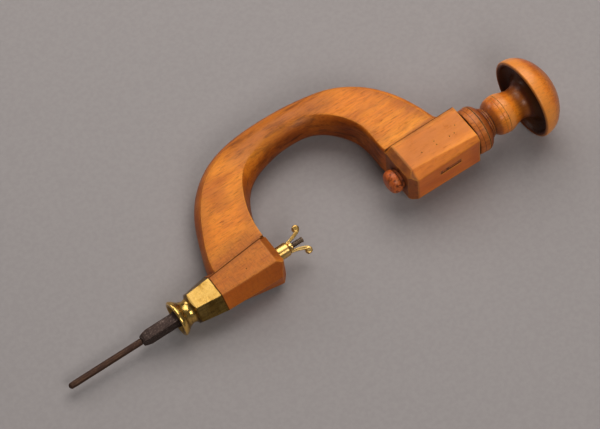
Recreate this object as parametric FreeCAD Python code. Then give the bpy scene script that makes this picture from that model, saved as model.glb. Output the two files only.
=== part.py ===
import FreeCAD, Part
import math
import os

# Wooden bow brace with a split two-jaw chuck and a plain round bit, in millimetres.
# +X runs along the turning axis from the bit to the head, x = 0 is the mouth of the
# brass ferrule, +Y points into the bow, +Z is square to the plane of the bow.
# "Upper" means +Z. "Inner" ends of the foot and the head box face each other.

V = FreeCAD.Vector

# ---- dimensions shared between pieces ----
FERRULE_BACK_X = 38.2       # brass / wood joint
FOOT_END_X = 97.0           # inner face of the foot
BOX_IN_X = 221.2            # inner face of the head box
BOX_OUT_X = 290.6           # outer face of the head box
TENON_X = 16.5              # end of the wooden tenon inside the ferrule
HEAD_JOINT_X = 307.6        # collar / knob joint

ROD_R = 2.4                 # draw rod, major radius of its thread
SHANK_R = 2.3               # bit shank, inside the jaws
BUSH_R = 4.6
BUSH_X = 86.2               # bush end inside the foot
SPINDLE_R = 8.7
SPINDLE_NECK_R = 4.0        # spindle end inside the button
SPINDLE_PEG_R = 6.5         # spindle end inside the knob
SPINDLE_PEG_X = 212.0       # tip of the neck

JAW_HALF_WIDTH = 4.5
JAW_MOUTH_H = 6.5           # half height at the mouth
JAW_TAPER = 0.114           # fall of the half height per mm inward
PIVOT_X = 27.0              # jaw rivet
PIVOT_R = 1.3

PIN_X, PIN_R = 30.0, 1.1    # ferrule pin
KEY_X0, KEY_X1 = 250.0, 271.0
KEY_TOP_Z = 6.8


# ---------------------------------------------------------------- helpers
def lerp(a, b, t):
    return a + (b - a) * t


def blend(p, q, t):
    return (lerp(p[0], q[0], t), lerp(p[1], q[1], t))


def closed_wire(points):
    return Part.makePolygon(points + [points[0]])


def yz_wire(x, yz):
    return closed_wire([V(x, y, z) for y, z in yz])


def curve(points):
    """Edge through (x, r) points: two give a line, more give a smooth curve."""
    vectors = [V(x, r, 0) for x, r in points]
    if len(vectors) == 2:
        return Part.LineSegment(*vectors).toShape()
    spline = Part.BSplineCurve()
    spline.interpolate(vectors)
    return spline.toShape()


def revolve(wire):
    return Part.Face(wire).revolve(V(0, 0, 0), V(1, 0, 0), 360)


def turned(profile):
    """Turn (x, r) runs about X. The first entry is the start point, and each
    run goes on from the end of the one before; a line closes the profile."""
    start, *runs = profile
    corner = start
    edges = []
    for run in runs:
        edges.append(curve([corner] + run))
        corner = run[-1]
    edges.append(curve([corner, start]))
    return revolve(Part.Wire(Part.__sortEdges__(edges)))


def lathe(points):
    """Turn a closed (x, r) polygon about X."""
    return revolve(closed_wire([V(x, r, 0) for x, r in points]))


def rod_x(x0, x1, radius):
    return Part.makeCylinder(radius, x1 - x0, V(x0, 0, 0), V(1, 0, 0))


def rod_y(x, y0, y1, radius):
    return Part.makeCylinder(radius, y1 - y0, V(x, y0, 0), V(0, 1, 0))


def rod_z(x, y, z0, length, radius):
    return Part.makeCylinder(radius, length, V(x, y, z0), V(0, 0, 1))


def block(x0, x1, y0, y1, z0, z1):
    return Part.makeBox(x1 - x0, y1 - y0, z1 - z0, V(x0, y0, z0))


def frustum(x0, yz0, x1, yz1):
    return Part.makeLoft([yz_wire(x0, yz0), yz_wire(x1, yz1)], True, True)


def prism_x(yz, x0, x1):
    return Part.Face(yz_wire(x0, yz)).extrude(V(x1 - x0, 0, 0))


def prism_y(xz, y0, y1):
    return Part.Face(closed_wire([V(x, y0, z) for x, z in xz])).extrude(V(0, y1 - y0, 0))


def prism_z(xy, z0, z1):
    return Part.Face(closed_wire([V(x, y, z0) for x, y in xy])).extrude(V(0, 0, z1 - z0))


def wedge(start, end, limit):
    """Outline between the sloping line start-end and a straight line at limit."""
    return [start, end, (end[0], limit), (start[0], limit)]


def rectangle(half_y, half_z):
    return [(-half_y, half_z), (half_y, half_z), (half_y, -half_z), (-half_y, -half_z)]


def hexagon(half_top, half_height, half_width):
    """(y, z) section, widest at mid height."""
    return [(-half_top, half_height), (half_top, half_height), (half_width, 0.0),
            (half_top, -half_height), (-half_top, -half_height), (-half_width, 0.0)]


def circle_edges(solid):
    return [e for e in solid.Edges if e.Curve.TypeId == "Part::GeomCircle"]


def soften(solid, radius, wanted):
    """Round the long edges whose middle point (y, z) is wanted."""
    long_edges = []
    for edge in solid.Edges:
        a, b = edge.Vertexes[0].Point, edge.Vertexes[-1].Point
        if abs(a.x - b.x) > 20.0 and wanted(0.5 * (a.y + b.y), 0.5 * (a.z + b.z)):
            long_edges.append(edge)
    return solid.makeFillet(radius, long_edges)


# ---------------------------------------------------------------- bow
BOW_POLE = (159.0, 12.0)    # x, y of the line all the section planes pass through
BOW_STUB = 11.0             # straight run from each end of the bow into its block
# angle from +X, inner radius, outer radius, inner bevel, outer bevel,
# half thickness at the inner edge, at the outer edge, roundness 0..1,
# half height of the inner side face, of the outer side face
BOW_SECTIONS = [
    (0.0, 61.8, 116.6, 1.5, 4.4, 18.2, 18.0, 0.00, 15.0, 12.6),
    (11.0, 62.0, 115.5, 1.5, 4.6, 18.2, 18.0, 0.00, 15.0, 12.6),
    (23.0, 65.6, 114.6, 1.8, 5.2, 18.0, 17.6, 0.02, 14.5, 12.0),
    (35.0, 70.6, 114.5, 2.2, 5.5, 17.8, 17.2, 0.06, 13.0, 10.3),
    (47.0, 73.4, 113.5, 2.8, 5.8, 17.5, 16.8, 0.14, 10.0, 7.2),
    (58.0, 74.3, 110.7, 3.8, 6.0, 17.0, 16.4, 0.34, 7.0, 4.0),
    (69.0, 73.7, 106.2, 5.0, 7.5, 16.4, 16.2, 0.68, 4.0, 3.0),
    (80.0, 71.6, 103.1, 6.0, 7.5, 16.1, 16.1, 0.95, 3.0, 3.0),
    (90.0, 70.1, 102.2, 6.0, 7.5, 16.1, 16.1, 1.00, 3.0, 3.0),
    (101.0, 68.8, 103.7, 6.0, 7.5, 16.1, 16.1, 1.00, 3.0, 3.0),
    (112.0, 68.5, 106.9, 5.5, 7.5, 16.1, 16.1, 0.80, 3.0, 3.0),
    (123.0, 68.6, 110.2, 5.0, 7.5, 16.1, 15.9, 0.46, 3.0, 3.0),
    (135.0, 67.4, 112.0, 3.1, 6.6, 16.1, 15.5, 0.20, 3.0, 3.0),
    (147.0, 65.4, 112.6, 2.3, 6.6, 16.1, 14.9, 0.08, 3.0, 3.0),
    (158.0, 64.0, 112.5, 1.8, 5.6, 16.2, 14.2, 0.03, 3.0, 3.0),
    (169.0, 62.7, 114.2, 1.8, 4.4, 16.4, 13.2, 0.00, 3.0, 3.0),
    (180.0, 62.2, 116.4, 1.8, 3.4, 16.4, 11.9, 0.00, 3.0, 3.0),
]
# where each corner of the octagon lands on the ellipse; the last closes the turn
CORNER_ANGLES = [115.0, 62.0, 18.0, -18.0, -62.0, -115.0, -162.0, -198.0, -245.0]
SIDE_CROWNS = [0.25, 0.6, 0.2, 0.6, 0.25, 0.3, 0.2, 0.3]    # bulge of each side


def bow_section(angle, r_in, r_out, bevel_in, bevel_out, half_in, half_out,
                roundness, side_in, side_out):
    """Eight arcs, blended from a crowned octagon (0) to an ellipse (1)."""
    center = 0.5 * (r_in + r_out)
    semi_r = 0.5 * (r_out - r_in)
    semi_z = 0.5 * (half_in + half_out)
    octagon = [(r_in + bevel_in, half_in), (r_out - bevel_out, half_out),
               (r_out, side_out), (r_out, -side_out),
               (r_out - bevel_out, -half_out), (r_in + bevel_in, -half_in),
               (r_in, -side_in), (r_in, side_in)]

    def on_ellipse(degrees):
        turn = math.radians(degrees)
        return (center + semi_r * math.cos(turn), semi_z * math.sin(turn))

    def side_middle(i):
        (r0, z0), (r1, z1) = octagon[i], octagon[(i + 1) % 8]
        mid_r, mid_z = 0.5 * (r0 + r1), 0.5 * (z0 + z1)
        length = math.hypot(r1 - r0, z1 - z0)
        normal_r, normal_z = -(z1 - z0) / length, (r1 - r0) / length
        if (mid_r - center) * normal_r + mid_z * normal_z < 0:
            normal_r, normal_z = -normal_r, -normal_z
        crowned = (mid_r + normal_r * SIDE_CROWNS[i], mid_z + normal_z * SIDE_CROWNS[i])
        mid_angle = 0.5 * (CORNER_ANGLES[i] + CORNER_ANGLES[i + 1])
        return blend(crowned, on_ellipse(mid_angle), roundness)

    turn = math.radians(angle)

    def in_space(point):
        r, z = point
        return V(BOW_POLE[0] + r * math.cos(turn), BOW_POLE[1] + r * math.sin(turn), z)

    corners = [blend(octagon[i], on_ellipse(CORNER_ANGLES[i]), roundness) for i in range(8)]
    arcs = []
    for i in range(8):
        ends = in_space(corners[i]), in_space(corners[(i + 1) % 8])
        arcs.append(Part.Arc(ends[0], in_space(side_middle(i)), ends[1]).toShape())
    return Part.Wire(arcs)


# ---------------------------------------------------------------- foot and tenon
# half width of the top, half height, half width at mid height
FOOT_AT_BRASS = (9.8, 12.6, 18.8)
FERRULE_GROWTH = (2.23, 0.2, 3.8)       # growth of those three ...
FERRULE_GROWTH_RUN = 23.1               # ... over this length along +X
BRASS_WALL = 1.4                        # round the tenon
# y, z of the foot section at its inner end
FOOT_INNER_END = [(-13.4, 18.0), (13.4, 18.0), (14.4, 0.0),
                  (13.4, -18.0), (-17.4, -18.0), (-19.3, -1.0)]
FOOT_ROUND = 0.8                        # worn long edges
TENON_SCALE = 0.998                     # fit of the tenon in its socket


def ferrule_sizes(x):
    t = (x - FERRULE_BACK_X) / FERRULE_GROWTH_RUN
    return [size + growth * t for size, growth in zip(FOOT_AT_BRASS, FERRULE_GROWTH)]


def outer_hex(x):
    return hexagon(*ferrule_sizes(x))


def inner_hex(x):
    """The outer hexagon set in by the brass wall."""
    half_top, height, width = ferrule_sizes(x)
    run = width - half_top
    inner_width = width - BRASS_WALL * math.hypot(run, height) / height
    inner_height = height - BRASS_WALL
    return hexagon(inner_width - run * inner_height / height, inner_height, inner_width)


def tenon_socket():
    return frustum(TENON_X, inner_hex(TENON_X), FERRULE_BACK_X, inner_hex(FERRULE_BACK_X))


def tenon_wood():
    def shrunk(x):
        return [(y * TENON_SCALE, z * TENON_SCALE) for y, z in inner_hex(x)]
    return frustum(TENON_X + 0.05, shrunk(TENON_X), FERRULE_BACK_X, shrunk(FERRULE_BACK_X))


def foot_block():
    foot = frustum(FERRULE_BACK_X, hexagon(*FOOT_AT_BRASS), FOOT_END_X, FOOT_INNER_END)
    return soften(foot, FOOT_ROUND, lambda y, z: y < 0 and abs(z) > 5.0)


# ---------------------------------------------------------------- head box
BOX_HALF_H = 20.2           # rough block
BOX_FLAT_H = 20.17          # across the planed faces
BOX_HALF_W = 19.5
BOX_ROUND = 1.1             # worn long edges


def box_section(flat, side):
    """flat: reach of the upper face toward -Y; side: half height of the -Y face."""
    h, w = BOX_HALF_H, BOX_HALF_W
    return [(-flat, h), (18.8, h), (w, h - 0.9), (w, -h + 0.9),
            (18.8, -h), (-flat, -h), (-w, -side), (-w, side)]


def head_box():
    """Flat top, with a bevel on the -Y side that narrows toward the head."""
    box = frustum(BOX_IN_X, box_section(9.9, 14.2), BOX_OUT_X, box_section(15.3, 16.0))
    x0, x1 = BOX_IN_X - 1, BOX_OUT_X + 1
    box = box.cut(Part.makeCompound([
        block(x0, x1, -24.0, 24.0, BOX_FLAT_H, BOX_FLAT_H + 4),
        block(x0, x1, -24.0, 24.0, -BOX_FLAT_H - 4, -BOX_FLAT_H)]))
    return soften(box, BOX_ROUND, lambda y, z: y < 0)


def bow_web():
    """Hollow curve where the bow runs into the +Y side of the box, bevelled."""
    z = -18
    outline = Part.Wire([
        Part.makeLine(V(268, 15, z), V(283, 15, z)),
        Part.makeLine(V(283, 15, z), V(283, 19.5, z)),
        Part.Arc(V(283, 19.5, z), V(276.9, 21.78, z), V(273.8, 27.5, z)).toShape(),
        Part.makeLine(V(273.8, 27.5, z), V(268, 27.5, z)),
        Part.makeLine(V(268, 27.5, z), V(268, 15, z))])
    web = Part.Face(outline).extrude(V(0, 0, -2 * z))
    return web.makeChamfer(4.4, circle_edges(web))


# ---------------------------------------------------------------- stock
WORM_R = 0.45
WORM_DEPTH = 6.0
# x, y of the worm holes in the upper face of the box
BOX_WORM_HOLES = [(281.4, 3.5), (276.5, -2.4), (271.6, -2.7),
                  (258.4, 1.2), (244.1, -1.6), (258.5, -2.7)]
FOOT_WORM_HOLE = (67.4, -3.0, 13.2)     # x, y and lowest z


def inner_end_bevels():
    """Bevels round the inner ends of both blocks: upper, lower and -Y edges."""
    foot, box = FOOT_END_X, BOX_IN_X
    bevels = []
    for side in (1, -1):
        bevels.append(prism_y(wedge((foot - 8.0, side * 18.4), (foot + 3.0, side * 10.3),
                                    side * 24.0), -26.0, 14.5))
        bevels.append(prism_y(wedge((box + 6.0, side * 20.4), (box - 3.0, side * 13.6),
                                    side * 26.0), -26.0, 19.6))
    bevels.append(prism_z(wedge((foot - 6.5, -19.8), (foot + 2.0, -11.0), -26.0), -26.0, 26.0))
    bevels.append(prism_z(wedge((box + 6.3, -19.8), (box - 2.0, -10.8), -26.0), -26.0, 26.0))
    return Part.makeCompound(bevels)


def ferrule_pin_hole():
    return rod_z(PIN_X, 0, -14.0, 8.0, PIN_R)


def stock_holes():
    holes = [
        block(TENON_X - 1, 37.5, -4.7, 4.7, -5.4, 5.4),             # pocket for the jaw tails
        rod_x(37.0, 87.0, ROD_R + 0.4),                             # draw rod bore
        rod_x(86.0, FOOT_END_X + 2, BUSH_R),                        # seat of the bush
        rod_x(BOX_IN_X - 3, BOX_OUT_X + 2, SPINDLE_R + 0.06),       # spindle bore
        block(KEY_X0 - 0.05, KEY_X1 + 0.05, -24.0, -5.0, 2.0, KEY_TOP_Z),   # key slot
        ferrule_pin_hole(),
    ]
    for x, y in BOX_WORM_HOLES:
        holes.append(rod_z(x, y, BOX_FLAT_H - 2.0, WORM_DEPTH, WORM_R))
    holes.append(rod_z(*FOOT_WORM_HOLE, WORM_DEPTH, WORM_R))
    return Part.makeCompound(holes)


def stock():
    """Bow, foot and head box in one piece of wood."""
    sections = [bow_section(*row) for row in BOW_SECTIONS]
    bow = Part.makeLoft(sections, True, False)
    head_stub, foot_stub = [Part.Face(end).extrude(V(0, -BOW_STUB, 0))
                            for end in (sections[0], sections[-1])]
    wood = bow.fuse([head_stub, foot_stub, foot_block(), head_box(), bow_web()])
    wood = wood.cut(inner_end_bevels())
    wood = wood.fuse(tenon_wood())
    return wood.cut(stock_holes()).removeSplitter()


# ---------------------------------------------------------------- ferrule
LIP_X = -1.2                # front of the rounded lip
LIP_R = 15.8                # rim of the flared mouth
NECK_R = 10.2               # neck behind the rim
FLARE_R = 20.6              # clear of the hexagonal part
FLARE_PROFILE = [           # x, r
    (LIP_X + 0.3, 0.0),
    [(LIP_X + 0.3, 13.6)],
    [(LIP_X, 14.5), (-0.7, 15.5), (0.4, LIP_R), (1.4, 15.4), (2.6, 14.7), (4.2, 13.3),
     (6.0, 11.8), (8.0, 10.8), (9.8, NECK_R), (11.4, 10.3), (12.8, 10.8), (13.9, 11.9),
     (14.6, 13.3)],
    [(FLARE_R, FLARE_R)],
    [(FERRULE_BACK_X, FLARE_R)],
    [(FERRULE_BACK_X, 0.0)],
]
BELL_OUTLINE = [            # x, r of the hollow in the mouth
    (-3.0, 0.0), (-3.0, 14.9), (-1.0, 13.0), (1.2, 10.6), (3.8, 8.3), (6.0, 7.0), (6.0, 0.0)]


def chuck_ferrule():
    """Brass: a flared round mouth that turns hexagonal to meet the foot."""
    envelope = frustum(11.5, outer_hex(11.5), FERRULE_BACK_X, outer_hex(FERRULE_BACK_X))
    envelope = envelope.fuse(rod_x(-3.0, 11.6, 17.0))
    brass = turned(FLARE_PROFILE).common(envelope)
    half_width = JAW_HALF_WIDTH + 0.1
    socket_end = TENON_X + 0.5
    jaw_socket = frustum(
        -3.0, rectangle(half_width, JAW_MOUTH_H + 0.35),
        socket_end, rectangle(half_width, JAW_MOUTH_H + 0.05 - JAW_TAPER * socket_end))
    brass = brass.cut(Part.makeCompound([jaw_socket, lathe(BELL_OUTLINE), tenon_socket()]))
    return brass.cut(ferrule_pin_hole())


def ferrule_pin():
    return rod_z(PIN_X, 0, -12.5, 6.0, PIN_R)


# ---------------------------------------------------------------- jaws
JAW_GAP = 0.3               # half of the split between the jaws
JAW_TIP_X = -34.0
JAW_BACK_X = 19.6           # end of the taper
CHEEK_H = 4.2               # half height of the cheeks behind the taper
TAIL_R = 4.2
JAW_TOP = [                 # x, distance from the split plane
    (JAW_TIP_X, 2.2), (-33.4, 3.5), (-31.6, 4.5), (-26.0, 5.5), (-18.0, 6.2), (-9.0, 6.55),
    (0.0, JAW_MOUTH_H), (JAW_BACK_X, JAW_MOUTH_H - JAW_TAPER * JAW_BACK_X)]


def jaw(sign):
    """One half of the split chuck; sign +1 is the upper half."""
    outline = [(JAW_TIP_X, JAW_GAP)] + JAW_TOP + [(JAW_BACK_X, JAW_GAP)]
    body = prism_y([(x, sign * z) for x, z in outline], -JAW_HALF_WIDTH, JAW_HALF_WIDTH)
    # nose narrowed in plan
    for side in (1, -1):
        body = body.cut(prism_z(wedge((-35.0, side * 3.1), (-27.0, side * 4.55), side * 6.0),
                                -8.0, 8.0))
    # bevelled outer corners
    for side in (1, -1):
        corner = [(side * 4.6, sign * 5.2), (side * 2.6, sign * 6.9), (side * 4.6, sign * 6.9)]
        body = body.cut(prism_x(corner, -36.0, -2.0))
    # the cheeks pass the draw rod on opposite sides
    if sign > 0:
        y0, y1, z0, z1 = -JAW_HALF_WIDTH, -1.6, JAW_GAP, CHEEK_H
    else:
        y0, y1, z0, z1 = 1.6, JAW_HALF_WIDTH, -CHEEK_H, -JAW_GAP
    cheek = block(19.0, PIVOT_X, y0, y1, z0, z1)
    body = body.fuse([cheek, rod_y(PIVOT_X, y0, y1, TAIL_R)])
    body = body.cut(rod_x(-36.0, 12.6, SHANK_R + 0.04))     # grip on the bit shank
    body = body.cut(rod_x(12.5, 19.8, 2.94))                # room for the spring
    body = body.cut(rod_y(PIVOT_X, -6.0, 6.0, PIVOT_R + 0.05))
    return body.removeSplitter()


def jaw_pin():
    return rod_y(PIVOT_X, -JAW_HALF_WIDTH, JAW_HALF_WIDTH, PIVOT_R)


def jaw_spring():
    """Folded leaf that parts the jaws when the nut is slackened; open toward -X."""
    outside = prism_y([(13.2, 2.1), (19.0, 2.1), (19.6, 1.4),
                       (19.6, -1.4), (19.0, -2.1), (13.2, -2.1)], -1.3, 1.3)
    inside = prism_y([(13.0, 1.7), (18.8, 1.7), (19.1, 1.2),
                      (19.1, -1.2), (18.8, -1.7), (13.0, -1.7)], -1.4, 1.4)
    return outside.cut(inside)


# ---------------------------------------------------------------- draw rod and bush
ROD_CORE_R = 1.95           # thread root
ROD_END_X = 123.6
THREAD_X = 92.0             # start of the thread
THREAD_PITCH = 1.5
TONGUE_R = 3.4
TONGUE_Y = 1.5              # half thickness of the tongue between the cheeks


def draw_rod():
    tongue = block(PIVOT_X, 33.0, -TONGUE_Y, TONGUE_Y, -TONGUE_R, TONGUE_R)
    tongue = tongue.fuse(rod_y(PIVOT_X, -TONGUE_Y, TONGUE_Y, TONGUE_R))
    outline = [(31.8, 0.0), (31.8, 3.9), (32.2, 4.2), (35.2, 4.2), (35.8, 3.6),
               (36.4, ROD_R), (THREAD_X, ROD_R)]
    x = THREAD_X
    while x + THREAD_PITCH < ROD_END_X - 1.4:
        outline += [(x + 0.15, ROD_R), (x + 0.65, ROD_CORE_R),
                    (x + 0.95, ROD_CORE_R), (x + THREAD_PITCH, ROD_R)]
        x += THREAD_PITCH
    outline += [(ROD_END_X - 0.9, ROD_R), (ROD_END_X - 0.3, 2.2),
                (ROD_END_X, 1.2), (ROD_END_X, 0.0)]
    return lathe(outline).fuse(tongue).cut(rod_y(PIVOT_X, -3.0, 3.0, PIVOT_R))


def foot_bush():
    bore_r = ROD_R + 0.08   # running fit of the rod
    face = FOOT_END_X
    return lathe([(BUSH_X, bore_r), (BUSH_X, BUSH_R), (face, BUSH_R), (face, 6.0),
                  (face + 0.8, 6.2), (face + 1.0, 6.0), (face + 1.0, bore_r)])


# ---------------------------------------------------------------- wing nut
NUT_X0, NUT_X1 = 98.06, 109.2
NUT_R = 6.1
NUT_TURN = 24.0             # how the wings stand at rest, degrees about X
NUT_PROFILE = [             # x, r
    (NUT_X0, 0.0),
    [(NUT_X0, 5.6)],
    [(NUT_X0 + 0.5, NUT_R)],
    [(NUT_X1 - 1.2, NUT_R)],
    [(NUT_X1 - 0.3, 5.3), (NUT_X1 + 0.3, 4.6)],
    [(NUT_X1 + 1.4, 4.2), (NUT_X1 + 3.0, 4.25)],
    [(NUT_X1 + 3.6, 3.6)],
    [(NUT_X1 + 3.6, 0.0)],
]
# x, y along the middle of a wing
WING_PATH = [(109.4, 4.0), (113.0, 4.4), (116.4, 5.3), (119.6, 6.5),
             (122.2, 7.7), (123.8, 8.9), (124.3, 10.2)]
WING_STATIONS = 7
WING_BEVEL = 0.45
ROLL_X, ROLL_Y, ROLL_R = 122.9, 10.4, 3.0
ROLL_HALF_Z = 2.7


def wing(sign):
    """Leaf that curls outward into a rolled end."""
    path = Part.BSplineCurve()
    path.interpolate([V(x, sign * y, 0) for x, y in WING_PATH])
    first, last = path.FirstParameter, path.LastParameter
    wires = []
    for i in range(WING_STATIONS):
        t = i / (WING_STATIONS - 1)
        parameter = first + (last - first) * i / (WING_STATIONS - 1)
        point = path.value(parameter)
        along = path.tangent(parameter)[0]
        along.normalize()
        normal = V(-along.y, along.x, 0)
        thick = lerp(1.15, 1.65, t)     # half thickness
        wide = lerp(2.1, 2.4, t)        # half width
        thick_in, wide_in = thick - WING_BEVEL, wide - WING_BEVEL
        corners = [(-thick, -wide_in), (-thick_in, -wide), (thick_in, -wide),
                   (thick, -wide_in), (thick, wide_in), (thick_in, wide),
                   (-thick_in, wide), (-thick, wide_in)]
        wires.append(closed_wire([point + normal * n + V(0, 0, z) for n, z in corners]))
    leaf = Part.makeLoft(wires, True, False)
    roll = rod_z(ROLL_X, sign * ROLL_Y, -ROLL_HALF_Z, 2 * ROLL_HALF_Z, ROLL_R)
    roll = roll.makeFillet(1.2, circle_edges(roll))
    return leaf.fuse(roll)


def wing_nut():
    nut = turned(NUT_PROFILE).fuse([wing(1), wing(-1)])
    nut = nut.cut(rod_x(NUT_X0 - 1, NUT_X1 + 6, ROD_R + 0.06))
    # conical mouth of the bore, between the wings
    nut = nut.cut(lathe([(NUT_X1 + 2.9, 0.0), (NUT_X1 + 4.5, 0.0),
                         (NUT_X1 + 4.5, 4.3), (NUT_X1 + 2.9, 2.8)]))
    nut.rotate(V(0, 0, 0), V(1, 0, 0), NUT_TURN)
    return nut


# ---------------------------------------------------------------- bit
BIT_TIP_X = -103.0
BIT_R = 2.8                 # working length
SHANK_X = -34.6             # where the shank begins
BIT_PROFILE = [             # x, r
    (BIT_TIP_X, 0.0),
    [(BIT_TIP_X + 0.15, 1.1), (BIT_TIP_X + 0.9, 2.1), (BIT_TIP_X + 3.0, 2.65)],
    [(BIT_TIP_X + 6.0, BIT_R)],
    [(SHANK_X, BIT_R)],
    [(SHANK_X + 0.1, SHANK_R)],
    [(11.5, SHANK_R)],
    [(12.0, 1.9)],
    [(12.0, 0.0)],
]

# ---------------------------------------------------------------- head
GROOVE_X0, GROOVE_X1 = 249.6, 271.4     # groove the key runs in
GROOVE_R = 6.1
SPINDLE_SHOULDER_X = 218.75
SPINDLE_OUTLINE = [         # x, r
    (SPINDLE_PEG_X, 0.0), (SPINDLE_PEG_X, SPINDLE_NECK_R),
    (SPINDLE_SHOULDER_X, SPINDLE_NECK_R), (SPINDLE_SHOULDER_X, SPINDLE_R),
    (GROOVE_X0, SPINDLE_R), (GROOVE_X0, GROOVE_R), (GROOVE_X1, GROOVE_R),
    (GROOVE_X1, SPINDLE_R), (HEAD_JOINT_X, SPINDLE_R), (HEAD_JOINT_X, SPINDLE_PEG_R),
    (332.0, SPINDLE_PEG_R), (332.6, 6.0), (332.6, 0.0)]
BUTTON_R = 10.3
BUTTON_PROFILE = [          # x, r
    (208.9, 0.0),
    [(208.95, 3.0), (209.4, 6.2), (210.7, 8.7), (212.8, 10.05), (214.6, BUTTON_R)],
    [(217.2, 10.2), (218.3, 9.6), (218.7, 8.6)],
    [(218.7, 0.0)],
]
BUTTON_PIN_X, BUTTON_PIN_R = 215.4, 0.9
BUTTON_PIN_Y0 = -5.6
WASHER_OUTLINE = [          # x, r
    (290.65, 9.0), (290.65, 16.8), (290.9, 17.1), (291.5, 17.1), (291.75, 16.8), (291.75, 9.0)]
COLLAR_X = 291.8
COLLAR_PROFILE = [          # x, r
    (COLLAR_X, SPINDLE_R),
    [(COLLAR_X, 19.0)],
    [(292.2, 19.8), (293.2, 20.3), (296.5, 20.7), (300.7, 21.1)],
    [(301.15, 20.4)],
    [(301.6, 20.9)],
    [(303.4, 20.3), (305.2, 19.0), (306.6, 17.4), (307.1, 16.3)],
    [(HEAD_JOINT_X, 15.6)],
    [(HEAD_JOINT_X, SPINDLE_R)],
]
PAD_R = 36.6                # rim of the breast pad
KNOB_PROFILE = [            # x, r
    (HEAD_JOINT_X, 0.0),
    [(HEAD_JOINT_X, 13.8)],
    [(308.3, 14.5), (309.3, 14.6), (310.2, 13.8)],
    [(310.5, 12.9)],
    [(311.1, 13.4), (311.8, 13.3), (312.4, 12.7)],
    [(312.8, 11.9)],
    [(314.8, 13.9), (318.0, 16.1), (321.6, 17.1)],
    [(321.85, 16.85)],
    [(322.1, 17.2)],
    [(323.6, 17.5), (325.0, 17.6)],
    [(325.4, 17.1)],
    [(325.8, 17.6)],
    [(328.2, 17.4), (331.0, 16.7), (334.0, 15.6), (337.5, 14.6), (341.0, 14.2),
     (344.2, 14.6), (347.2, 15.9), (349.4, 17.6)],
    [(350.2, 18.5)],
    [(352.6, 20.2), (354.9, 23.6), (354.8, 27.4), (353.0, 30.6), (350.6, 32.2)],
    [(349.0, 33.0), (348.2, 34.4), (348.5, 35.7), (349.5, 36.5)],
    [(351.0, PAD_R), (355.5, 36.1), (360.5, 34.2), (365.5, 30.4), (370.0, 24.8),
     (373.6, 17.8), (375.9, 9.8), (376.7, 0.0)],
]
KNOB_BORE = [               # x, r
    (306.0, 0.0), (306.0, SPINDLE_PEG_R), (332.8, SPINDLE_PEG_R), (333.0, 6.0), (333.0, 0.0)]


def button_pin(y1):
    return rod_y(BUTTON_PIN_X, BUTTON_PIN_Y0, y1, BUTTON_PIN_R)


def button_pin_hole():
    return button_pin(13.0)


def spindle_button():
    button = turned(BUTTON_PROFILE).cut(rod_x(SPINDLE_PEG_X, 219.5, SPINDLE_NECK_R))
    return button.cut(button_pin_hole())


# ---------------------------------------------------------------- output
os.makedirs("parts", exist_ok=True)
PIECES = {
    "stock": stock(),
    "chuck_ferrule": chuck_ferrule(),
    "ferrule_pin": ferrule_pin(),
    "jaw_upper": jaw(1),
    "jaw_lower": jaw(-1),
    "jaw_pin": jaw_pin(),
    "jaw_spring": jaw_spring(),
    "draw_rod": draw_rod(),
    "foot_bush": foot_bush(),
    "wing_nut": wing_nut(),
    "bit": turned(BIT_PROFILE),
    "head_spindle": lathe(SPINDLE_OUTLINE).cut(button_pin_hole()),
    "spindle_button": spindle_button(),
    "button_pin": button_pin(10.0),
    "thrust_washer": lathe(WASHER_OUTLINE),
    "head_collar": turned(COLLAR_PROFILE),
    "head_knob": turned(KNOB_PROFILE).cut(lathe(KNOB_BORE)),
    "retaining_key": block(KEY_X0, KEY_X1, -19.35, -6.5, 3.3, KEY_TOP_Z),
}
for name, shape in PIECES.items():
    if shape.ShapeType == "Compound" and len(shape.Solids) == 1:
        shape = shape.Solids[0]
    shape.exportStep("parts/%s.step" % name)
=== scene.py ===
"""Looks, floor, lights and camera for an old wooden hand brace.

The brace lies on its side with its turning axis along X: the brass ferrule of the chuck is
near x = 0 and the turned head ends near x = 0.37. The bow curves out towards +Y and its
flats face up and down (Z). The wooden foot joins the bow to the ferrule, and a square-sided
box joins the bow to the head. All sizes are in metres.
"""
import random
from functools import cached_property

import bpy
import bmesh
from mathutils import Matrix, Vector

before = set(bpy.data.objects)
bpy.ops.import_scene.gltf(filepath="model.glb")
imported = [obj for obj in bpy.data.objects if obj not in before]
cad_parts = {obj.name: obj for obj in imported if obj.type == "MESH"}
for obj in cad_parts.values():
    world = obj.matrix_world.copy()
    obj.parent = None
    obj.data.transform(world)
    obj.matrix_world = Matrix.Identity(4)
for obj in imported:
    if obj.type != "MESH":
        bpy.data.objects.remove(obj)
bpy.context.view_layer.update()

random.seed(7)
scene = bpy.context.scene


# ---------------------------------------------------------------- node helpers
def linear(red, green, blue):
    """8-bit screen colour to linear RGBA"""
    shares = [level / 255.0 for level in (red, green, blue)]
    return (*(share / 12.92 if share <= 0.04045 else ((share + 0.055) / 1.055) ** 2.4
              for share in shares), 1.0)


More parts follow.
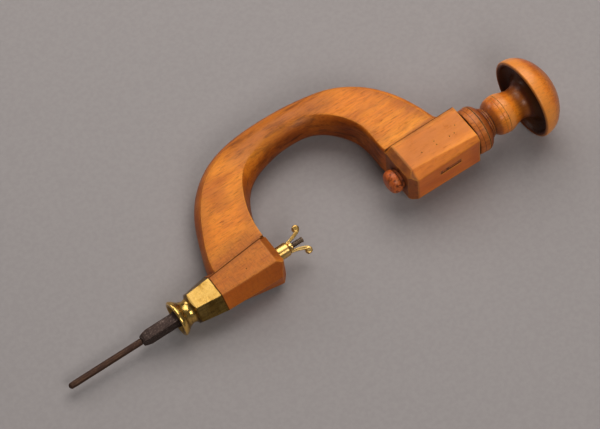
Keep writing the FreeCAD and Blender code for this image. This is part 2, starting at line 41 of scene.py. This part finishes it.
class Channel:
    """An output socket of a look. Each arithmetic step on it adds one math node."""

    def __init__(self, look, socket):
        self.look = look
        self.socket = socket

    def __add__(self, other):
        return self.look.math("ADD", self, other)

    def __radd__(self, other):
        return self.look.math("ADD", other, self)

    def __sub__(self, other):
        return self.look.math("SUBTRACT", self, other)

    def __rsub__(self, other):
        return self.look.math("SUBTRACT", other, self)

    def __mul__(self, other):
        return self.look.math("MULTIPLY", self, other)

    def __abs__(self):
        return self.look.math("ABSOLUTE", self)

    def maximum(self, other):
        return self.look.math("MAXIMUM", self, other)

    def clamped(self):
        """hold the last math step between 0 and 1"""
        self.socket.node.use_clamp = True
        return self

    def fade(self, zero, one):
        """smooth mask: 0 where the value is `zero`, 1 where it is `one`, in either order"""
        ends = (zero, one, 0.0, 1.0) if zero <= one else (one, zero, 1.0, 0.0)
        return self.look.node("ShaderNodeMapRange", dict(enumerate((self, *ends))),
                              interpolation_type="SMOOTHSTEP")


class Look:
    """A material under construction; `color` is its base colour so far.

    Plain colours are 8-bit screen colours.
    """

    def __init__(self, name):
        self.material = bpy.data.materials.new(name)
        self.material.use_nodes = True
        self.tree = self.material.node_tree
        self.tree.nodes.clear()
        self.color = None

    def node(self, kind, inputs=None, output=0, **props):
        """add a node and return one of its outputs"""
        node = self.tree.nodes.new(kind)
        for key, value in props.items():
            setattr(node, key, value)
        for key, value in (inputs or {}).items():
            if isinstance(value, Channel):
                self.tree.links.new(value.socket, node.inputs[key])
            else:
                node.inputs[key].default_value = value
        return Channel(self, node.outputs[output])

    @cached_property
    def coords(self):
        return self.node("ShaderNodeTexCoord", output="Object")

    @cached_property
    def normal(self):
        return self.node("ShaderNodeNewGeometry", output="Normal")

    @cached_property
    def position(self):
        """object x, y and z"""
        split = self.node("ShaderNodeSeparateXYZ", {0: self.coords}).socket.node
        return [Channel(self, output) for output in split.outputs]

    def normal_z(self):
        return self.node("ShaderNodeSeparateXYZ", {0: self.normal}, output=2)

    def math(self, operation, first, second=0.0):
        return self.node("ShaderNodeMath", {0: first, 1: second, 2: 0.0}, operation=operation)

    def inverse(self, value):
        """one minus a channel or a plain number"""
        return self.math("SUBTRACT", 1.0, value)

    def hypot(self, first, second):
        return self.math("SQRT", first * first + second * second)

    def zone(self, **fades):
        """product of fades along named axes; each axis takes one or two (zero, one) pairs"""
        axes = dict(zip("xyz", self.position))
        mask = None
        for axis, ends in fades.items():
            for i in range(0, len(ends), 2):
                fade = axes[axis].fade(ends[i], ends[i + 1])
                mask = mask * fade if mask else fade
        return mask

    def noise(self, scale, offset=(0, 0, 0), detail=3.0, rough=0.55, dist=0.0):
        """noise with `scale` repeats per metre along x, y and z"""
        vector = self.node("ShaderNodeMapping", {0: self.coords, 1: offset, 3: scale})
        return self.node("ShaderNodeTexNoise", {
            "Vector": vector, "Scale": 1.0, "Detail": detail, "Roughness": rough,
            "Distortion": dist})

    def mix(self, share, first, second, blend="MIX"):
        first, second = (value if isinstance(value, Channel) else linear(*value)
                         for value in (first, second))
        return self.node("ShaderNodeMix", {0: share, 6: first, 7: second}, output=2,
                         data_type="RGBA", blend_type=blend)

    def paint(self, shade, mask, strength=None, blend="MIX"):
        """lay a shade over the base colour where the mask is high"""
        if strength is not None:
            mask = mask * strength
        self.color = self.mix(mask, self.color, shade, blend)

    def occlusion(self, distance):
        """low in corners closer than `distance`"""
        return self.node("ShaderNodeAmbientOcclusion", {"Distance": distance}, output="AO",
                         samples=6, only_local=False)

    def edge(self, radius, zero, one):
        """normal softened over edges, and a mask of where it leaves the true one"""
        soft = self.node("ShaderNodeBevel", {0: radius}, samples=6)
        match = self.node("ShaderNodeVectorMath", {0: soft, 1: self.normal}, output="Value",
                          operation="DOT_PRODUCT")
        return soft, (1.0 - match).fade(zero, one)

    def bump(self, height, distance, normal=None):
        inputs = {"Height": height, "Distance": distance, "Strength": 1.0}
        if normal is not None:
            inputs["Normal"] = normal
        return self.node("ShaderNodeBump", inputs)

    def surface(self, rough, normal, metal=0.0, coat=0.0, coat_rough=0.25, spec=0.5):
        return self.node("ShaderNodeBsdfPrincipled", {
            "Base Color": self.color, "Roughness": rough, "Normal": normal, "Metallic": metal,
            "Coat Weight": coat, "Coat Roughness": coat_rough, "Specular IOR Level": spec})

    def finish(self, shader):
        output = self.tree.nodes.new("ShaderNodeOutputMaterial")
        self.tree.links.new(shader.socket, output.inputs[0])
        return self.material


# ---------------------------------------------------------------- wood
def wood(name, *, light, mid, dark, grime_and_shade, worn_and_highlit, seed, coat, gloss, tint, patchiness=0.5,
         soft=0.0016):
    """Old waxed hardwood with the grain along X.

    `tint` paints what is particular to the piece and returns how dull it leaves the wax;
    `gloss` is the base roughness and `soft` the radius of the softened edges, which carry
    wear and a painted highlight.
    """
    look = Look(name)
    offset = (seed, seed * 1.7, seed * 0.6)
    ribbon = look.noise((5, 90, 90), offset, dist=0.25)
    streak = look.noise((9, 430, 430), offset, detail=4.0, rough=0.62)
    fine = look.noise((26, 1300, 1300), offset, rough=0.6)
    patch = look.noise((14, 34, 34), offset, dist=0.4)
    blotch = look.noise((60, 110, 110), offset, detail=4.0, rough=0.6)
    fleck = look.noise((120, 620, 620), offset, rough=0.65)
    figure = look.noise((70, 330, 330), offset, rough=0.6)
    pores = look.noise((85, 1700, 1700), offset, detail=2.0).fade(0.62, 0.72)
    dents = look.noise((210, 230, 230), offset, detail=1.0).fade(0.66, 0.78)

    look.color = look.mix(ribbon.fade(0.24, 0.80), light, mid)
    # texture, noise level where its mask is 0 and where it is 1, strength, shade
    for texture, zero, one, strength, shade in (
            (streak, 0.50, 0.78, 0.24, dark),
            (figure, 0.50, 0.72, 0.22, dark),
            (fleck, 0.50, 0.70, 0.42, dark),
            (fleck, 0.46, 0.28, 0.40, light),
            (fine, 0.50, 0.78, 0.30, dark),
            (fine, 0.46, 0.24, 0.30, light),
            (patch, 0.50, 0.70, patchiness, dark),
            (blotch, 0.56, 0.74, 0.30 * patchiness, dark)):
        look.paint(shade, texture.fade(zero, one), strength)
    look.paint(grime_and_shade, pores, strength=0.45)
    dull = tint(look, patch)

    # edges with wear and a painted highlight, then soiling and painted shade in the corners
    soft_normal, edge = look.edge(radius=soft, zero=0.008, one=0.16)
    open_air = look.occlusion(distance=0.009)
    rubbed_and_highlit = edge * blotch.fade(0.22, 0.56) * open_air.fade(0.55, 0.85) * look.inverse(dull)
    # painted highlight along the edges, laid over real wear
    look.paint(worn_and_highlit, rubbed_and_highlit, strength=0.80)
    # painted shade where the occlusion is low, mixed with soiling
    corner_grime_and_shade = (open_air + (blotch - 0.5) * 0.35).fade(0.80, 0.30)
    look.paint(grime_and_shade, corner_grime_and_shade, strength=0.86)

    waxed = look.inverse(dull)
    height = fine * 0.30 + streak * 0.45 - pores * 0.45 - dents * 0.9
    return look.finish(look.surface(
        rough=(gloss + (blotch - 0.5) * 0.34 + corner_grime_and_shade * 0.28).clamped(),
        normal=look.bump(height, distance=0.00020, normal=soft_normal),
        coat=waxed * coat, coat_rough=0.26, spec=waxed * 0.30))


FOOT_END_X = 0.0382             # joint across the ferrule end of the foot
FOOT_EDGE_Y = 0.0098            # y of the joint of foot and bow at FOOT_END_X
FOOT_SLOPE = 0.0036 / 0.0588    # rise of that joint in y along x
BOX_EDGE_Y = 0.0192             # joint of box and bow
BOW_CENTRE = (0.159, 0.012)     # x, y of the centre of the bow's curve


def stock_tint(look, patch):
    """where hands and wear have changed the colour of the bow, foot and box, and where light
    and shade are painted on them
    """
    x, y, z = look.position

    # the foot: browner, curly and stained, with painted shade on its sloping sides and at its
    # high-x end
    foot = look.zone(x=(0.108, 0.090), y=(0.034, 0.018))
    look.paint((178, 100, 42), foot, strength=0.55)
    curl = look.noise((700, 190, 190), (2, 5, 1), detail=4.0, dist=0.5)
    look.paint((128, 66, 24), foot * curl.fade(0.42, 0.74), strength=0.30)
    # painted shade: the sloping sides of the foot deeper and redder
    look.paint((196, 104, 22), foot * abs(look.normal_z()).fade(0.80, 0.60), strength=0.42)
    stain = look.noise((42, 60, 60), (7, 1, 3), detail=4.0, rough=0.65)
    look.paint((128, 66, 34), foot * stain.fade(0.46, 0.74), strength=0.34)
    # painted shade on the high-x end of the foot
    foot_end = look.zone(x=(0.0885, 0.0925), y=(0.017, 0.010, -0.014, -0.004))
    look.paint((118, 56, 20), foot_end, strength=0.55)

    # the grip in the middle of the bow
    grip = look.zone(x=(0.098, 0.128, 0.226, 0.196), y=(0.074, 0.090))
    look.paint((158, 84, 36), grip, strength=0.50)
    hand = look.noise((38, 210, 210), (6, 2, 9), detail=4.0, rough=0.65)
    look.paint((94, 46, 20), grip * hand.fade(0.46, 0.66), strength=0.50)

    # the head end of the box
    look.paint((112, 66, 34), look.zone(x=(0.276, 0.286), z=(0.019, 0.012)), strength=0.55)

    # dark lines along the joints of the foot and the box: dark joints, with painted shadow
    # where the surfaces step
    def line(distance, width):
        return abs(distance).fade(width, width * 0.35)

    foot_edge = FOOT_EDGE_Y + (x - FOOT_END_X) * FOOT_SLOPE
    seam = line(y - foot_edge, width=0.0011) * z.fade(0.0090, 0.0115) * x.fade(0.098, 0.092)
    seam = seam.maximum(line(x - FOOT_END_X, width=0.0013))
    box_seam = line(y - BOX_EDGE_Y, width=0.0010) * z.fade(0.0110, 0.0150)
    seam = seam.maximum(box_seam * x.fade(0.220, 0.224))
    look.paint((48, 22, 9), seam, strength=0.90)

    # foot and box are browner close to those joints
    near = abs(y - foot_edge).fade(0.0060, 0.0) * x.fade(0.100, 0.094)
    near = near.maximum(abs(y - BOX_EDGE_Y).fade(0.0050, 0.0) * x.fade(0.214, 0.222))
    look.paint((132, 64, 22), near * patch.fade(0.30, 0.60), strength=0.45)

    # browner wood along the outside of the bow
    look.paint((160, 86, 32), y.fade(0.092, 0.110) * patch.fade(0.40, 0.62), strength=0.40)

    # painted shade: side faces are darker and redder than the flats, but less so on the foot
    # and the box
    flatness = abs(look.normal_z())
    radius = look.hypot(x - BOW_CENTRE[0], y - BOW_CENTRE[1])
    mottled = look.noise((55, 55, 55), detail=4.0, rough=0.6)
    side = flatness.fade(0.96, 0.45) * (0.55 + mottled * 0.75)
    on_box = look.zone(x=(0.214, 0.222), y=(0.019, 0.012))
    spared = on_box * 0.42 + foot * 0.26
    look.paint((196, 88, 18), side * (0.50 - spared), blend="MULTIPLY")

    # painted light and shade on the flats, bevels and sides of the box: each facing gets its
    # own colour
    box_top = on_box * flatness.fade(0.985, 0.998) * x.fade(0.2262, 0.2290)
    look.paint((252, 152, 62), box_top, strength=0.52)
    bevel = on_box * flatness.fade(0.985, 0.93) * flatness.fade(0.25, 0.45)
    look.paint((232, 130, 60), bevel, strength=0.60)
    box_side = on_box * flatness.fade(0.30, 0.10) * (0.5 + mottled * 0.7)
    look.paint((236, 124, 66), box_side, strength=0.74)

    # the flats of the bow are a little deeper in colour, most of all towards the edges
    flat = flatness.fade(0.90, 0.99) * y.fade(0.020, 0.034)
    look.paint((206, 160, 120), flat, strength=0.20, blend="MULTIPLY")
    rim = radius.fade(0.096, 0.113).maximum(radius.fade(0.078, 0.068))
    look.paint((140, 70, 22), flat * rim * (0.2 + mottled * 0.9), strength=0.60)

    # painted shade on the low-x end bevel of the box, made blotchy by noise
    end_blotches = look.noise((240, 190, 240), (1, 4, 2), detail=4.0, rough=0.7)
    box_end = look.zone(x=(0.2290, 0.2262, 0.2160, 0.2185), y=(0.0190, 0.0170))
    look.paint((92, 54, 34), box_end * (0.30 + end_blotches * 0.8), strength=0.90)

    # painted shade on the inner wall of the bow, almost black with smears of soiling, and
    # painted shade on its outer wall
    on_bow = look.zone(y=(0.016, 0.030), x=(0.262, 0.250))
    inner = flatness.fade(0.93, 0.30) * radius.fade(0.090, 0.074) * on_bow
    look.paint((92, 40, 11), inner * (0.30 + mottled * 0.85).clamped(), strength=0.80)
    smear = look.noise((60, 60, 260), (3, 7, 1), detail=4.0, rough=0.65)
    look.paint((46, 19, 7), inner * smear.fade(0.48, 0.64), strength=0.50)
    outer = flatness.fade(0.90, 0.35) * radius.fade(0.094, 0.102) * on_bow
    look.paint((100, 46, 15), outer * (0.45 + mottled * 0.6), strength=0.75)
    return (seam * 0.8).maximum(inner * 0.35)


def turned_tint(look, patch):
    """head knob: the cup is almost black with painted shade over old soiling, a painted
    highlight runs along the rim, the belly is burnished with a painted highlight
    """
    x, y, z = look.position
    radius = look.hypot(y, z)
    # painted shade in the cup, over old soiling
    cup = look.zone(x=(0.3440, 0.3478, 0.3600, 0.3560)) * radius.fade(0.0350, 0.0338)
    look.paint((50, 21, 9), cup, strength=0.93)
    # painted highlight along the rim of the cup
    rim = radius.fade(0.0330, 0.0354) * x.fade(0.3660, 0.3520)
    look.paint((255, 172, 86), rim, strength=0.60)
    # browner on the bow side of the belly
    look.paint((148, 74, 30), x.fade(0.3235, 0.3150), strength=0.40)
    # lighter band round the belly: burnish with a painted highlight
    belly = look.zone(x=(0.3225, 0.3255, 0.3335, 0.3300))
    look.paint((255, 176, 104), belly, strength=0.40)
    crown = x.fade(0.3560, 0.3700) * (0.45 + patch * 0.6)
    look.paint((128, 58, 20), crown, strength=0.70)
    # painted shade in the hollows of the waist and neck, and darker beads: shade, strength,
    # fades along x
    for shade, strength, ends in (
            ((120, 56, 24), 0.55, (0.3128, 0.3150, 0.3190, 0.3160)),    # waist
            ((92, 40, 16), 0.70, (0.3330, 0.3410, 0.3500, 0.3480)),     # neck
            ((104, 42, 22), 0.66, (0.3150, 0.3125, 0.3070, 0.3074))):   # beads
        look.paint(shade, look.zone(x=ends), strength)
    return cup * 0.6


def collar_tint(look, patch):
    """light by the washer, darker towards the beads, dark in two cut lines"""
    x = look.position[0]
    look.paint((132, 62, 26), x.fade(0.2990, 0.3030), strength=0.62)
    look.paint((84, 36, 16), x.fade(0.3040, 0.3075), strength=0.60)
    deep_cut = abs(x - 0.30115).fade(0.0007, 0.0003)
    fine_cut = abs(x - 0.2962).fade(0.00045, 0.0002)
    look.paint((46, 20, 9), deep_cut.maximum(fine_cut * 0.6), strength=0.85)
    return 0.0


def redwood_tint(look, patch):
    """dark open grain and paler rubbed spots"""
    grain = look.noise((240, 620, 150), (3, 1, 8), rough=0.6, dist=0.6)
    look.paint((66, 26, 12), grain.fade(0.54, 0.64), strength=0.75)
    rub = look.noise((160, 160, 160), (8, 2, 5), detail=2.0)
    look.paint((226, 138, 76), rub.fade(0.56, 0.70), strength=0.45)
    return 0.0


BOXWOOD = wood("boxwood_bow", light=(255, 166, 48), mid=(246, 146, 38), dark=(176, 86, 18),
               grime_and_shade=(40, 17, 6), worn_and_highlit=(255, 178, 82), seed=3.1, coat=0.08, gloss=0.46,
               tint=stock_tint, soft=0.0026)
TURNED = wood("boxwood_turned", light=(255, 158, 50), mid=(244, 130, 34), dark=(168, 70, 14),
              grime_and_shade=(30, 12, 5), worn_and_highlit=(255, 182, 86), seed=9.4, coat=0.30, gloss=0.36,
              tint=turned_tint, patchiness=0.7)
COLLAR = wood("boxwood_collar", light=(222, 134, 56), mid=(196, 104, 38), dark=(128, 58, 20),
              grime_and_shade=(30, 12, 5), worn_and_highlit=(250, 178, 96), seed=5.8, coat=0.16, gloss=0.42,
              tint=collar_tint)
REDWOOD = wood("redwood", light=(224, 124, 58), mid=(200, 96, 40), dark=(120, 48, 18),
               grime_and_shade=(30, 13, 7), worn_and_highlit=(240, 150, 84), seed=12.2, coat=0.2, gloss=0.42,
               tint=redwood_tint)


# ---------------------------------------------------------------- metals and leather
def brass(name, *, bright, mid, tarnish, seed, tarnish_amount=0.6, rings=0.0, tint=None):
    """Aged brass: olive-brown tarnish, bright edges with wear and a painted highlight, fine
    scratches, painted shade in the corners.

    `rings` is the scale of turning marks along X; `tint` returns where it is polished.
    """
    look = Look(name)
    offset = (seed, seed * 1.3, seed * 0.7)
    cloud = look.noise((85, 85, 85), offset, detail=5.0, rough=0.62, dist=0.3)
    speck = look.noise((620, 620, 620), offset, rough=0.6)
    scratch = look.noise((2400, 160, 160), offset, detail=2.0)
    soft_normal, edge = look.edge(radius=0.0006, zero=0.012, one=0.14)
    open_air = look.occlusion(distance=0.006)

    look.color = look.mix(cloud.fade(0.36, 0.62), bright, mid)
    dull = (cloud.fade(0.52, 0.74) * tarnish_amount + speck.fade(0.60, 0.76) * 0.30).clamped()
    look.paint(tarnish, dull)
    rough = (0.30 + dull * 0.26 + (scratch - 0.5) * 0.22).clamped()
    if tint:
        rough = (rough - tint(look) * 0.08).clamped()
    # painted shade in corners and hollows, where the occlusion is low
    look.paint((40, 26, 14), open_air.fade(0.82, 0.30), strength=0.85)
    # painted highlight along the edges, laid over real wear
    look.paint(bright, edge * open_air.fade(0.5, 0.8), strength=0.7)

    height = scratch * 0.35 + speck * 0.35
    if rings:
        wave = look.node("ShaderNodeTexWave", {
            "Vector": look.coords, "Scale": rings, "Distortion": 0.4, "Detail": 1.0},
            output=1, wave_type="BANDS", bands_direction="X")
        height = height + wave * 0.35
    normal = look.bump(height, distance=0.00007, normal=soft_normal)
    return look.finish(look.surface(rough, normal, metal=1.0))


def iron(name, *, base, rust, high, rough, rust_amount, seed, metal=0.75, fleck_amount=0.35):
    """old iron or steel: dark skin, rust bloom, pitting, rubbed edges"""
    look = Look(name)
    offset = (seed, seed * 1.2, seed * 0.4)
    bloom = look.noise((120, 190, 190), offset, detail=5.0, rough=0.65)
    grit = look.noise((900, 900, 900), offset, rough=0.6)
    pits = look.noise((560, 560, 560), offset, detail=2.0).fade(0.62, 0.74)
    file_marks = look.noise((180, 2100, 2100), offset, detail=2.0)
    fleck = look.noise((520, 760, 760), offset, rough=0.7)
    soft_normal, edge = look.edge(radius=0.0005, zero=0.012, one=0.14)
    open_air = look.occlusion(distance=0.004)

    rusted = bloom.fade(0.40, 0.66) * rust_amount
    look.color = look.mix(rusted, base, rust)
    look.paint(rust, grit.fade(0.52, 0.74), strength=0.45)
    look.paint((18, 11, 8), pits, strength=0.55)
    look.paint(high, fleck.fade(0.55, 0.68), strength=fleck_amount)
    look.paint(high, edge * open_air.fade(0.5, 0.8), strength=0.55)
    # painted shade in corners and hollows, where the occlusion is low
    look.paint((12, 8, 6), open_air.fade(0.8, 0.3), strength=0.8)

    height = grit * 0.4 + file_marks * 0.35 - pits * 0.9
    return look.finish(look.surface(
        rough=(rough + rusted * 0.30 + (grit - 0.5) * 0.25).clamped(),
        normal=look.bump(height, distance=0.00022, normal=soft_normal),
        metal=(metal - rusted * 0.6).clamped()))


def ferrule_tint(look):
    """turned lip and waist polished bright, sides of the hexagon olive-brown, with tarnish
    streaks and painted shade on the sloping sides
    """
    x, y, z = look.position
    lip = x.fade(0.0050, 0.0030) * look.hypot(y, z).fade(0.0128, 0.0145)
    waist = look.zone(x=(0.0030, 0.0060, 0.0150, 0.0120))
    look.paint((250, 208, 122), lip.maximum(waist * 0.8), strength=0.84)
    smoke = look.noise((190, 120, 120), (5, 3, 2), detail=4.0, rough=0.6)
    look.paint((104, 74, 30), lip.maximum(waist) * smoke.fade(0.52, 0.68), strength=0.50)
    groove = look.zone(x=(0.0118, 0.0136, 0.0166, 0.0150))
    look.paint((74, 52, 22), groove, strength=0.55)
    # tarnish streaks on the sloping sides of the hexagon, with painted shade
    flank = x.fade(0.0150, 0.0175) * look.normal_z().fade(0.90, 0.70)
    streaks = look.noise((60, 420, 420), (4, 2, 6), detail=4.0, rough=0.65)
    look.paint((70, 50, 20), flank * streaks.fade(0.42, 0.62), strength=0.42)
    return lip.maximum(waist)


def leather():
    """dark oiled leather with a net of creases"""
    look = Look("oiled_leather")
    cell_edge = look.node("ShaderNodeTexVoronoi", {"Vector": look.coords, "Scale": 900.0},
                          feature="DISTANCE_TO_EDGE")
    crease = cell_edge.fade(0.10, 0.0)
    tone = look.noise((160, 160, 160), detail=4.0)
    look.color = look.mix(tone.fade(0.35, 0.68), (58, 36, 24), (30, 18, 12))
    look.paint((14, 8, 5), crease, strength=0.6)
    soft_normal, edge = look.edge(radius=0.0004, zero=0.015, one=0.15)
    look.paint((96, 64, 44), edge, strength=0.35)
    height = tone * 0.3 - crease * 0.7
    return look.finish(look.surface(
        rough=0.55 + tone * 0.25,
        normal=look.bump(height, distance=0.00015, normal=soft_normal)))


BRASS = brass("brass_cast", bright=(178, 146, 84), mid=(160, 126, 64), tarnish=(92, 68, 30),
              seed=1.0, rings=420.0, tint=ferrule_tint)
BRASS_NUT = brass("brass_nut", bright=(240, 202, 132), mid=(222, 180, 106),
                  tarnish=(146, 108, 58), seed=6.0, tarnish_amount=0.40)
IRON = iron("iron_jaws", base=(84, 68, 62), rust=(58, 35, 25), high=(168, 148, 136),
            rough=0.50, rust_amount=0.5, seed=2.0, fleck_amount=0.55)
ROD = iron("iron_rod", base=(138, 118, 98), rust=(92, 62, 42), high=(190, 172, 150),
           rough=0.38, rust_amount=0.5, seed=4.0)
RUST = iron("browned_steel", base=(84, 58, 42), rust=(66, 34, 19), high=(140, 110, 86),
            rough=0.42, rust_amount=0.75, seed=8.0, metal=0.62)
LEATHER = leather()

DRESS = {
    "stock": BOXWOOD, "head_knob": TURNED, "head_collar": COLLAR, "head_spindle": REDWOOD,
    "spindle_button": REDWOOD, "retaining_key": REDWOOD, "chuck_ferrule": BRASS,
    "foot_bush": BRASS_NUT, "wing_nut": BRASS_NUT, "jaw_upper": IRON, "jaw_lower": IRON,
    "jaw_pin": ROD, "ferrule_pin": IRON, "button_pin": IRON, "jaw_spring": RUST,
    "draw_rod": ROD, "bit": RUST, "thrust_washer": LEATHER,
}
for name, material in DRESS.items():
    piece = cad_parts[name]
    if not piece.data.materials:
        piece.data.materials.append(material)
    for slot in piece.material_slots:
        slot.material = material


# ---------------------------------------------------------------- floor
FLOOR_HALF = 4.0
FLOOR_GAP = 0.0006      # clearance between the resting plane and the floor


def rest_z(x, y):
    """plane under the brace as it lies on the head's rim, the brass rim and the bow"""
    return -0.0158 - 0.0593 * x + 0.059 * y


def floor_paper():
    """matt grey paper, clear to the camera from below so the brace's underside shows"""
    look = Look("floor_paper")
    fibre = look.noise((260, 260, 260))
    look.color = look.mix(fibre.fade(0.3, 0.7), (166, 159, 157), (170, 163, 161))
    paper = look.surface(rough=0.85, normal=look.bump(fibre, distance=0.00006), spec=0.2)
    from_below = (look.node("ShaderNodeNewGeometry", output="Backfacing")
                  * look.node("ShaderNodeLightPath", output="Is Camera Ray"))
    clear = look.node("ShaderNodeBsdfTransparent")
    return look.finish(look.node("ShaderNodeMixShader", {0: from_below, 1: paper, 2: clear}))


def make_floor():
    sheet = bmesh.new()
    corners = [sheet.verts.new((x, y, rest_z(x, y) - FLOOR_GAP)) for x, y in (
        (-FLOOR_HALF, -FLOOR_HALF), (FLOOR_HALF, -FLOOR_HALF),
        (FLOOR_HALF, FLOOR_HALF), (-FLOOR_HALF, FLOOR_HALF))]
    sheet.faces.new(corners)
    mesh = bpy.data.meshes.new("floor")
    sheet.to_mesh(mesh)
    sheet.free()
    floor = bpy.data.objects.new("floor", mesh)
    scene.collection.objects.link(floor)
    mesh.materials.append(floor_paper())
    return floor


make_floor()

# ---------------------------------------------------------------- light
LIT_CENTRE = Vector((0.13, 0.03, 0.0))      # the point every softbox faces


def softbox(name, direction, distance, size, watts, tint=(1.0, 1.0, 1.0)):
    towards = Vector(direction).normalized()
    light = bpy.data.lights.new(name, "AREA")
    light.shape = "RECTANGLE"
    light.size, light.size_y = size
    light.energy = watts
    light.color = tint
    lamp = bpy.data.objects.new(name, light)
    lamp.location = LIT_CENTRE + towards * distance
    lamp.rotation_euler = towards.to_track_quat("Z", "Y").to_euler()
    scene.collection.objects.link(lamp)


softbox("key", direction=(0.40, 0.34, 0.85), distance=1.6, size=(1.5, 1.5), watts=20.0,
        tint=(1.0, 0.985, 0.965))
softbox("back", direction=(-0.30, 0.80, 0.52), distance=1.8, size=(1.1, 0.8), watts=6.0)
softbox("fill", direction=(-0.05, -0.74, 0.67), distance=1.8, size=(0.9, 0.7), watts=9.0,
        tint=(1.0, 0.99, 0.98))

world = bpy.data.worlds.new("studio")
world.use_nodes = True
background = world.node_tree.nodes["Background"]
background.inputs["Color"].default_value = (0.80, 0.82, 0.85, 1.0)
background.inputs["Strength"].default_value = 0.16
scene.world = world
scene.view_settings.view_transform = "Standard"
scene.view_settings.look = "None"
scene.view_settings.gamma = 0.88

# ---------------------------------------------------------------- camera
# the camera's own x, y and z axes in the scene; it looks along minus its z
CAMERA_AXES = Matrix((
    (0.82290543, -0.56358233, -0.0721222),
    (0.5200428, 0.69596519, 0.49516456),
    (-0.22887146, -0.44498024, 0.86580046)))
CAMERA_PLACE = Vector((-0.2817287, -0.7896649, 1.5762095))

lens = bpy.data.cameras.new("camera")
lens.sensor_fit = "HORIZONTAL"
lens.sensor_width = 36.0    # mm
lens.lens = 132.0           # mm
lens.clip_start = 0.05
lens.clip_end = 30.0
camera = bpy.data.objects.new("camera", lens)
camera.matrix_world = Matrix.Translation(CAMERA_PLACE) @ CAMERA_AXES.transposed().to_4x4()
scene.collection.objects.link(camera)
scene.camera = camera
